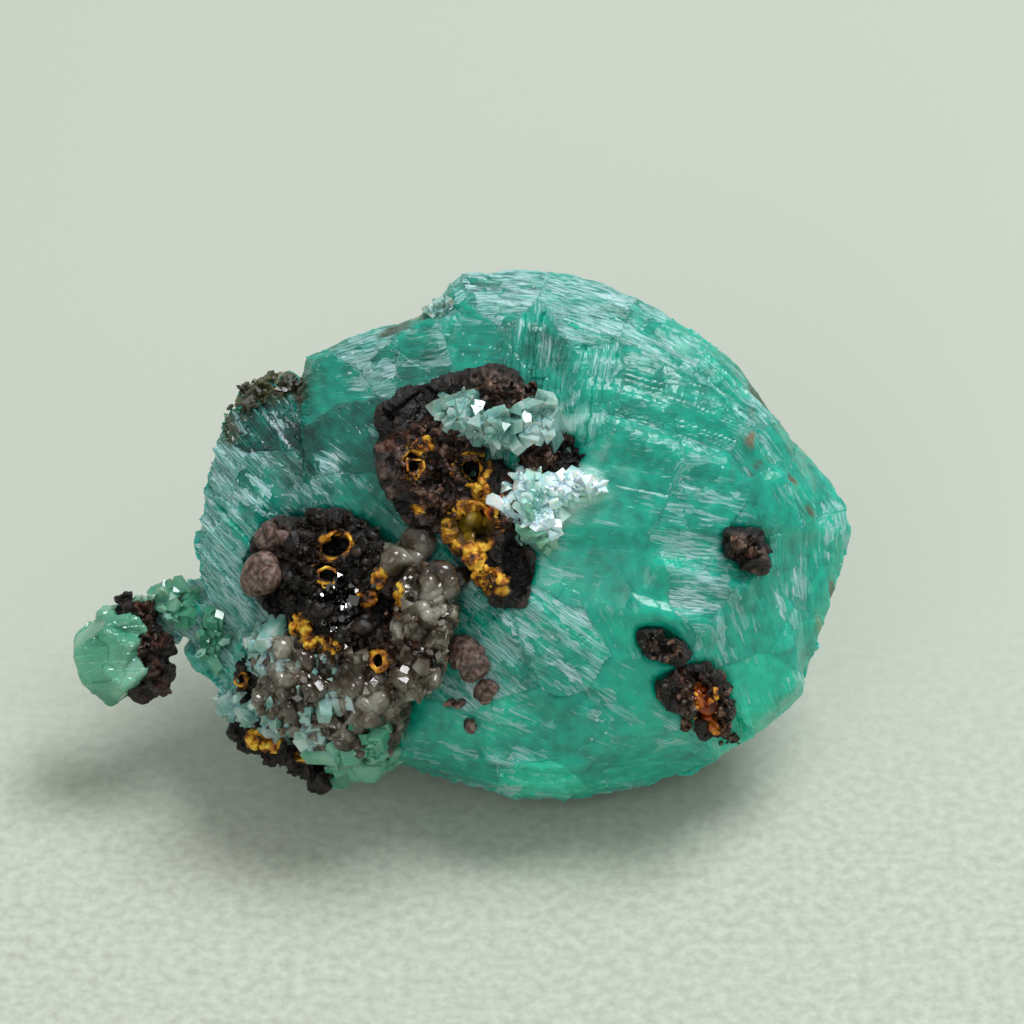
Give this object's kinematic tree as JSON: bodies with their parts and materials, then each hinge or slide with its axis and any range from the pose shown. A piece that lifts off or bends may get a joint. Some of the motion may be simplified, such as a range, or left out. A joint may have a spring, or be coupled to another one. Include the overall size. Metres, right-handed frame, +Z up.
{
  "type": "rough cuproadamite",
  "caption": "Rough teal-green crystal mass with stepped faces, dark limonite nests, ochre tubes and pale later crystals, resting on a small flat spot.",
  "frame": {"origin": "centre of the bounding box, at the floor under the specimen", "axes": "+X along the long side, towards the rounded right end as seen from the display face; +Z up; the display face looks towards -Y and up"},
  "size_m": [0.0274, 0.0158, 0.0161],
  "materials": {
    "adamite": "gloss",
    "pale": "gloss",
    "limonite": "rough",
    "crust": "satin",
    "ochre": "matte"
  },
  "bodies": {
    "root": {"cuproadamite_mass": "adamite", "limonite_upper_nest": "limonite", "limonite_lower_nest": "limonite", "limonite_side_pod": "limonite", "limonite_right_pod": "limonite", "limonite_small_pod": "limonite", "limonite_branch": "limonite", "limonite_fan_matrix": "limonite", "limonite_rim": "limonite", "limonite_tube_post": "limonite", "limonite_back": "limonite", "grey_crust": "crust", "crust_bead_1": "crust", "crust_bead_2": "crust", "crust_bead_3": "crust", "pale_crystals_upper": "pale", "pale_crystals_side": "pale", "pale_crystals_left": "pale", "pale_crystals_corner": "pale", "pale_crystals_base": "pale", "pale_fan_crystal": "pale", "ochre_upper_tube": "ochre", "ochre_left_tube": "ochre", "ochre_bowl": "ochre", "ochre_gut": "ochre", "ochre_lower_tube": "ochre", "ochre_lower_ring": "ochre", "ochre_vein": "ochre", "ochre_core": "ochre", "ochre_rim": "ochre"}
  },
  "joints": []
}
